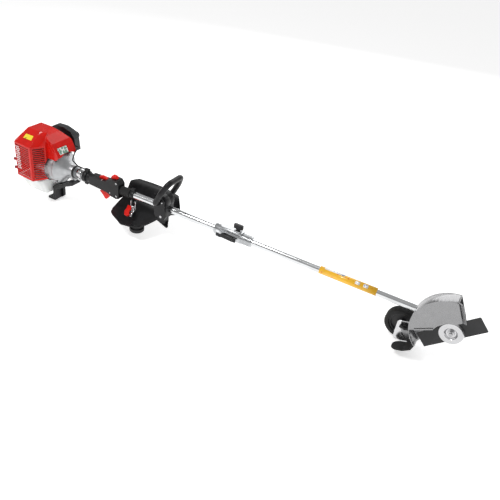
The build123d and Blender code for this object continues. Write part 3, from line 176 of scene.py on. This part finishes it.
def cast(name, colour, roughness=0.45, scale=700, depth=0.00012, metallic=0.85, variation=0.09):
    """Die-cast or pressed alloy: a fine skin with uneven gloss."""
    material, tree, shader = new_material(name, colour, roughness, metallic)
    vary(tree, shader, colour, variation, 40)
    gloss = ramp(tree, noise(tree, 120), roughness - variation, roughness + 1.3 * variation)
    tree.links.new(gloss, shader.inputs["Roughness"])
    bump(tree, shader, noise(tree, scale, 4.0), depth)
    return material


def rubber(name, colour, roughness=0.7, scale=1500, depth=0.00006):
    """Rubber: matt, with dusty paler patches."""
    material, tree, shader = new_material(name, colour, roughness, Specular_IOR_Level=0.35)
    dust = ramp(tree, noise(tree, 45, 6.0), 0.0, 0.5, start=0.5, end=0.8)
    tree.links.new(mix(tree, dust, colour, shade(colour, 2.2)), shader.inputs["Base Color"])
    bump(tree, shader, noise(tree, scale, 2.0), depth)
    return material


def translucent_tank(name):
    """Milky polyethylene that lets some light through."""
    colour = (0.80, 0.82, 0.80)
    material, tree, shader = new_material(name, colour, 0.38, Subsurface_Weight=0.35, Subsurface_Scale=0.01)
    shader.inputs["Subsurface Radius"].default_value = (1.0, 1.0, 0.9)
    vary(tree, shader, colour, 0.05, 18)
    bump(tree, shader, noise(tree, 350, 3.0), 0.00008)
    return material


def printed(name, ground, ink, scale, share):
    """Label film: blocks of ink on a coloured ground, without any lettering."""
    material, tree, shader = new_material(name, ground, 0.3, Coat_Weight=0.3)
    node = tree.nodes.new("ShaderNodeTexVoronoi")
    node.distance = "CHEBYCHEV"
    node.inputs["Scale"].default_value = scale
    tree.links.new(coordinates(tree), node.inputs["Vector"])
    blocks = ramp(tree, node.outputs["Distance"], 1.0, 0.0, start=share, end=share + 0.02)
    tree.links.new(mix(tree, blocks, ground, ink), shader.inputs["Base Color"])
    return material


TUBE_STRETCH = (0.04, 1.0, 1.0)  # long streaks along the tube
RED = (0.60, 0.008, 0.004)
LOOKS = {
    "red_plastic": moulded(
        "red_plastic", RED, 0.16, 420, 0.00002, coat=0.22, variation=0.08, specular=0.18
    ),
    "red_lever": moulded("red_lever", (0.72, 0.014, 0.008), 0.3, 900, 0.00003, coat=0.1, specular=0.2),
    "black_plastic": moulded(
        "black_plastic", (0.009, 0.009, 0.010), 0.36, 1100, 0.00006, variation=0.3, specular=0.3
    ),
    "grip_plastic": moulded(
        "grip_plastic", (0.008, 0.008, 0.009), 0.4, 1400, 0.0001, variation=0.3, specular=0.3
    ),
    "filter_plastic": moulded("filter_plastic", (0.018, 0.021, 0.023), 0.32, 1000, 0.00006, variation=0.25),
    "hub_plastic": moulded("hub_plastic", (0.012, 0.012, 0.013), 0.38, 900, 0.00006, variation=0.25),
    "rubber": rubber("rubber", (0.014, 0.014, 0.014)),
    "foam": rubber("foam", (0.014, 0.014, 0.014), 0.85, 700, 0.0004),
    "tyre": rubber("tyre", (0.016, 0.016, 0.016), 0.72, 900, 0.00015),
    "tank_plastic": translucent_tank("tank_plastic"),
    "cast_alloy": cast("cast_alloy", (0.44, 0.45, 0.46), 0.4, 500, 0.00012),
    "gear_alloy": cast("gear_alloy", (0.40, 0.41, 0.42), 0.4, 500),
    "fin_alloy": cast("fin_alloy", (0.55, 0.55, 0.57), 0.5),
    "coupler_alloy": brushed("coupler_alloy", (0.50, 0.51, 0.52), 0.28, (0.2, 1, 1), 500, 0.00002),
    "tube_alloy": brushed("tube_alloy", (0.68, 0.69, 0.70), 0.14, TUBE_STRETCH, 600, 0.000002),
    "steel": brushed("steel", (0.46, 0.46, 0.47), 0.28, (1, 1, 1), 500),
    "spring_steel": brushed("spring_steel", (0.4, 0.4, 0.42), 0.35, TUBE_STRETCH, 500),
    "zinc_steel": brushed("zinc_steel", (0.62, 0.62, 0.63), 0.14, (1, 1, 0.15), 450, 0.00001),
    "blade_steel": moulded("blade_steel", (0.018, 0.018, 0.019), 0.42, 700, 0.00006, variation=0.25),
    "guard_steel": cast("guard_steel", (0.30, 0.30, 0.305), 0.26, 220, 0.000004, 0.95, 0.03),
    "muffler_steel": cast("muffler_steel", (0.09, 0.085, 0.08), 0.6, 500, 0.0001, 0.5),
    "brass": brushed("brass", (0.70, 0.50, 0.22), 0.3),
    "ceramic": moulded("ceramic", (0.85, 0.85, 0.82), 0.2, 500, 0.00001, coat=0.5),
    "white_label": printed("white_label", (0.78, 0.80, 0.76), (0.16, 0.30, 0.22), 95, 0.42),
    "yellow_label": printed("yellow_label", (0.90, 0.72, 0.03), (0.02, 0.02, 0.02), 90, 0.16),
    "tube_wrap": printed("tube_wrap", (0.92, 0.50, 0.02), (0.80, 0.14, 0.01), 60, 0.12),
    "wrap_white": printed("wrap_white", (0.88, 0.88, 0.86), (0.05, 0.16, 0.45), 160, 0.20),
    # painted highlight: pale marks for the lit heat shield seen through the vent slots
    "vent_painted_highlight": moulded("vent_painted_highlight", (0.82, 0.80, 0.80), 0.5, 700, 0.00002),
    "dark_red": moulded("dark_red", (0.30, 0.004, 0.008), 0.3, 700, 0.00002, coat=0.3),
}

slot_of = {part["node"]: part["material_slot"] for part in frame["record"]["subparts"]}
for node_name, node in frame["nodes"].items():
    node.data.materials.clear()
    node.data.materials.append(LOOKS[slot_of[node_name]])


# ---------------------------------------------------------------- softened edges of the CAD nodes
SOFT_EDGES = {  # millimetres
    "engine_cover": 1.6, "fan_case": 0.8, "clutch_case": 0.9, "filter_cover": 1.0, "recoil_housing": 0.8,
    "carburetor": 0.7, "primer_bulb": 0.4, "tank_stand": 1.2, "handle_left": 1.4, "handle_right": 1.4,
    "throttle_trigger": 1.0, "throttle_lockout": 1.0, "stop_switch": 1.2, "hanger_clamp": 0.6,
    "hip_guard": 0.8, "loop_clamp": 1.5, "coupler_body": 0.7, "coupler_latch": 0.8, "coupler_knob": 0.8,
    "gearcase": 0.8, "blade_guard": 0.5, "debris_flap": 0.5, "wheel_bracket": 0.5, "wheel_hub": 0.8,
    "wheel_tyre": 1.2,
}


def add_bevel(target, width):
    """Adds a modifier that rounds the sharp edges; width is in millimetres."""
    bevel = target.modifiers.new("bevel", "BEVEL")
    bevel.width, bevel.segments = width * MM, 2
    bevel.limit_method = "ANGLE"
    return bevel


def soften(node, width):
    """Rounds a CAD node's sharp edges, but not the facets of its curved faces."""
    weld = node.modifiers.new("weld", "WELD")
    weld.merge_threshold = 0.01 * MM
    bevel = add_bevel(node, width)
    bevel.angle_limit = math.radians(32)
    bevel.harden_normals = True


for node_name, width in SOFT_EDGES.items():
    soften(frame["nodes"][node_name], width)


# ---------------------------------------------------------------- detail pieces
def point(x, y, dz):
    """World point in metres from millimetres, with dz measured from the drive axis."""
    return Vector((x * MM, y * MM, SHAFT_Z + dz * MM))


def add_piece(name, mesh_data, look, body, smooth=True, width=0.0):
    """Turns a bmesh into a piece that rides a body; width is that of its bevels."""
    mesh = bpy.data.meshes.new(name)
    bmesh.ops.recalc_face_normals(mesh_data, faces=mesh_data.faces)
    mesh_data.to_mesh(mesh)
    mesh_data.free()
    piece = bpy.data.objects.new(name, mesh)
    bpy.context.scene.collection.objects.link(piece)
    mesh.materials.append(LOOKS[look])
    for polygon in mesh.polygons:
        polygon.use_smooth = smooth
    if width:
        add_bevel(piece, width)
    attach(piece, body)


def join_loops(shape, first, second):
    """Adds a strip of four-sided faces between two closed loops of vertices."""
    count = len(first)
    for corner in range(count):
        follower = (corner + 1) % count
        shape.faces.new((first[corner], first[follower], second[follower], second[corner]))


def add_prism(shape, corners, thickness):
    """Adds a prism over a polygon of world points, thickened by a vector."""
    low = [shape.verts.new(corner) for corner in corners]
    high = [shape.verts.new(corner + thickness) for corner in corners]
    shape.faces.new(low)
    shape.faces.new(high)
    join_loops(shape, low, high)


def add_rod(shape, start, end, radius, sides=24):
    """Adds a cylinder between two world points; the radius is in millimetres."""
    direction = (end - start).normalized()
    across = direction.orthogonal().normalized()
    other = direction.cross(across)
    corners = [
        start + (across * math.cos(turn) + other * math.sin(turn)) * radius * MM
        for turn in (2 * math.pi * index / sides for index in range(sides))
    ]
    add_prism(shape, corners, end - start)


def add_band(shape, x0, x1, outer, inner, turn0=0.0, turn1=360.0, sides=64):
    """Adds a ring, or part of one, round the drive axis; sizes in millimetres, turns in degrees from +Y."""
    closed = turn1 - turn0 >= 360.0
    steps = sides if closed else sides + 1
    loops = []
    for index in range(steps):
        turn = math.radians(turn0 + (turn1 - turn0) * index / sides)
        loops.append([
            shape.verts.new(point(x, radius * math.cos(turn), radius * math.sin(turn)))
            for x, radius in ((x0, inner), (x0, outer), (x1, outer), (x1, inner))
        ])
    for index in range(sides):
        join_loops(shape, loops[index], loops[(index + 1) % steps])
    if not closed:
        shape.faces.new(loops[0])
        shape.faces.new(loops[-1])


def add_torus(shape, centre, normal, ring, rod, sides=32, rod_sides=10):
    """Adds a wire ring; the radii are in millimetres."""
    across = normal.orthogonal().normalized()
    other = normal.cross(across)
    loops = []
    for index in range(sides):
        turn = 2 * math.pi * index / sides
        outward = across * math.cos(turn) + other * math.sin(turn)
        loop = []
        for corner in range(rod_sides):
            angle = 2 * math.pi * corner / rod_sides
            offset = outward * (ring + rod * math.cos(angle)) + normal * rod * math.sin(angle)
            loop.append(shape.verts.new(centre + offset * MM))
        loops.append(loop)
    for index in range(sides):
        join_loops(shape, loops[index], loops[(index + 1) % sides])


def add_label(name, look, corners, normal, lift, thickness):
    """Adds a label over a flat face; lift and thickness are in millimetres."""
    face = bmesh.new()
    add_prism(face, [corner + normal * lift * MM for corner in corners], normal * thickness * MM)
    add_piece(name, face, look, "machine", smooth=False)


def add_labels():
    """Labels on the engine cover: plain blocks of colour in place of print."""
    lobe = [point(-725, -41, 94), point(-725, 8, 94), point(-714, 8, 70), point(-714, -36, 70)]
    add_label("cover_label", "white_label", lobe, Vector((0.904, 0, 0.427)), 0.4, 0.6)
    shoulder = [
        point(-843, -73, 130.5), point(-806, -73, 130.5), point(-804, -88, 118), point(-845, -88, 118),
    ]
    add_label("roof_label", "yellow_label", shoulder, Vector((0, -0.657, 0.753)), 0.6, 0.8)


def add_vent_marks(rows=12, columns=3, pitch_x=7.0, pitch_dz=8.0, half=3.0):
    """Column of pale lozenges on the slotted side, every other row set over by half a pitch; the lozenges
    are painted highlights standing for the bright heat shield seen through the slots.
    """
    marks = bmesh.new()
    for row in range(rows):
        for column in range(columns):
            x = -869 + pitch_x * (column + (0.5 if row % 2 else 0.0))
            y = -105.7 - 0.07 * (x + 876)  # follows the slotted face
            dz = 84 - pitch_dz * row
            corners = [
                point(x - half, y, dz), point(x, y, dz - half),
                point(x + half, y, dz), point(x, y, dz + half),
            ]
            add_prism(marks, corners, Vector((0, -0.8 * MM, 0)))
    # the pale lozenges are painted highlights, not the cover's own colour
    add_piece("vent_marks", marks, "vent_painted_highlight", "machine", smooth=False)


def add_cover_screws():
    """Screws and plugs on the engine cover."""
    screws = bmesh.new()
    add_rod(screws, point(-780, -36, 137), point(-778.5, -36, 144.5), 4.0)
    add_rod(screws, point(-774, -50, 106), point(-774, -54.5, 106), 4.0)
    add_piece("cover_screws", screws, "zinc_steel", "machine", smooth=False, width=0.5)
    plugs = bmesh.new()
    for dz in (22, -14):
        add_rod(plugs, point(-882, -98, dz), point(-892, -101, dz), 6.0)
    add_piece("cover_plugs", plugs, "dark_red", "machine", smooth=False, width=1.0)


def add_neck_parts():
    """Rubber ring, clamp band and its screw between the clutch case and the handle."""
    ring = bmesh.new()
    add_band(ring, -676, -666, 25.5, 23.05)
    add_piece("neck_ring", ring, "rubber", "machine", width=1.0)
    band = bmesh.new()
    add_band(band, -660, -638, TUBE_R + 4.5, TUBE_R + 0.1)
    add_piece("neck_band", band, "zinc_steel", "machine", width=1.0)
    lug = bmesh.new()
    corners = [point(-658, -7, -15), point(-640, -7, -15), point(-640, -7, -27), point(-658, -7, -27)]
    add_prism(lug, corners, Vector((0, 14 * MM, 0)))
    add_rod(lug, point(-649, -12, -21), point(-649, 12, -21), 4.0)
    add_piece("neck_lug", lug, "zinc_steel", "machine", smooth=False, width=0.8)


def add_tube_wrap():
    """Coloured film round the lower tube."""
    wrap = bmesh.new()
    add_band(wrap, 376, 574, TUBE_R + 0.25, TUBE_R + 0.05)
    add_piece("tube_wrap", wrap, "tube_wrap", "machine")
    pale = bmesh.new()
    for x0, x1, turn0, turn1 in ((392, 462, 62, 112), (500, 516, 100, 150), (528, 544, 100, 150)):
        add_band(pale, x0, x1, TUBE_R + 0.45, TUBE_R + 0.28, turn0, turn1, sides=16)
    add_piece("tube_wrap_panels", pale, "wrap_white", "machine")


def add_hook_parts():
    """Harness buckle with its ring and strip, leaning from the hook towards the hip guard."""
    eye = bmesh.new()
    add_torus(eye, point(-386, -8, -55), Vector((0.2, -0.7, 0.7)).normalized(), 8.5, 1.8)
    corners = [point(-385, -12, -54), point(-375, -12, -54), point(-366, -46, -66), point(-376, -46, -66)]
    add_prism(eye, corners, Vector((0, -1.2 * MM, 2 * MM)))
    add_piece("hook_ring", eye, "zinc_steel", "hook")
    buckle = bmesh.new()
    # across the buckle, and down its slope
    outline = [(-18, 0), (-2, -2), (4, 10), (0, 24), (6, 38), (0, 48), (-14, 46), (-20, 30), (-16, 16)]
    corners = [point(-391 + x + 0.25 * run, -10 - 0.88 * run, -50 - 0.35 * run) for x, run in outline]
    add_prism(buckle, corners, Vector((0, -2.5 * MM, 6.3 * MM)))
    add_piece("hook_buckle", buckle, "red_lever", "hook", smooth=False, width=1.5)


# ---------------------------------------------------------------- stage and light
def add_stage(half=30.0):
    """Pale floor, big enough for every view."""
    mesh = bpy.data.meshes.new("floor")
    corners = [(-half, -half, 0), (half, -half, 0), (half, half, 0), (-half, half, 0)]
    mesh.from_pydata(corners, [], [(0, 1, 2, 3)])
    floor = bpy.data.objects.new("floor", mesh)
    bpy.context.scene.collection.objects.link(floor)
    material, _, shader = new_material("floor", (0.9, 0.9, 0.9), 0.9, Specular_IOR_Level=0.1)
    shader.inputs["Emission Color"].default_value = (1.0, 1.0, 1.0, 1.0)
    shader.inputs["Emission Strength"].default_value = 0.5
    mesh.materials.append(material)


def add_light(name, at, target, size, power):
    """Square area light aimed at a point."""
    data = bpy.data.lights.new(name, "AREA")
    data.size, data.energy = size, power
    light = bpy.data.objects.new(name, data)
    light.location = at
    light.rotation_euler = (Vector(target) - Vector(at)).to_track_quat("-Z", "Y").to_euler()
    bpy.context.scene.collection.objects.link(light)


def add_world(strength):
    """Studio surroundings: pale walls and ceiling, with a dark band between for the metal to mirror."""
    world = bpy.data.worlds.new("world")
    world.use_nodes = True
    tree = world.node_tree
    background = tree.nodes["Background"]
    background.inputs["Strength"].default_value = strength
    source = tree.nodes.new("ShaderNodeTexCoord")
    parts = tree.nodes.new("ShaderNodeSeparateXYZ")
    tree.links.new(source.outputs["Generated"], parts.inputs["Vector"])
    bands = tree.nodes.new("ShaderNodeValToRGB")
    tree.links.new(parts.outputs["Z"], bands.inputs["Fac"])
    tree.links.new(bands.outputs["Color"], background.inputs["Color"])
    stops = bands.color_ramp.elements  # by height, from the horizon up
    stops[0].position, stops[0].color = 0.0, (1.0, 1.0, 1.0, 1.0)
    stops[1].position, stops[1].color = 0.5, (0.5, 0.5, 0.5, 1.0)
    for position, grey in ((0.17, 0.95), (0.27, 0.12)):
        stops.new(position).color = (grey, grey, grey, 1.0)
    bpy.context.scene.world = world


add_camera()
add_labels()
add_vent_marks()
add_cover_screws()
add_neck_parts()
add_tube_wrap()
add_hook_parts()
add_stage()
add_world(0.9)
add_light("key", (-1.4, -1.6, 3.2), (0, 0, 0.1), 0.9, 60)
add_light("rim", (-0.2, 2.6, 1.8), (0.5, 0, 0.1), 2.8, 46)
bpy.context.scene.view_settings.view_transform = "Standard"
